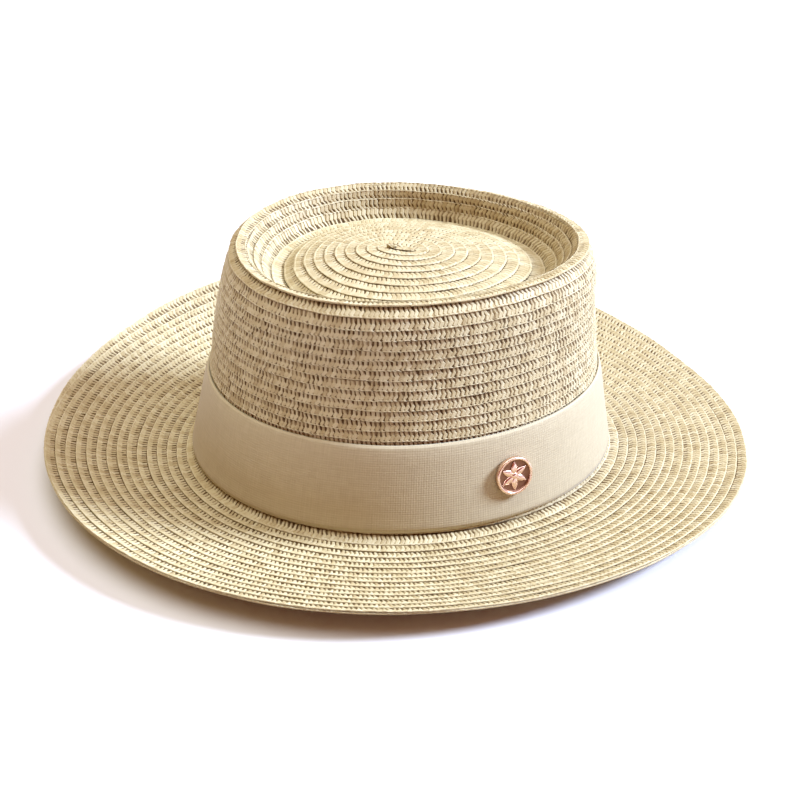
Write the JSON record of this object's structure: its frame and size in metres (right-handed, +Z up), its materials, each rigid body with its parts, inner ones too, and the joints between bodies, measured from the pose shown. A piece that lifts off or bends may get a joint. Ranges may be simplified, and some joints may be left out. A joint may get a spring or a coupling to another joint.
{
  "type": "straw porkpie hat",
  "caption": "Woven straw porkpie hat with a sunken domed crown, a wide gently curled brim, a pale ribbon band and a small round metal badge.",
  "frame": {"origin": "on the table under the middle of the brim's box, with the hat lying on the ring round its head opening", "axes": "+X towards the wearer's face, +Y towards the wearer's left, +Z up through the crown"},
  "size_m": [0.3392, 0.3088, 0.1105],
  "materials": {
    "straw": "sewn paper-straw braid, matt with a light sheen on its raised edges",
    "ribbon": "fine plain-woven ivory ribbon, matt",
    "badge_recess": "rose-gold plate over a darkened, satin recess",
    "badge_metal": "polished rose-gold plate"
  },
  "bodies": {
    "root": {"crown": "straw", "brim": "straw", "hat_band": "ribbon", "badge_body": "badge_recess", "badge_rosette": "badge_metal"}
  },
  "joints": []
}
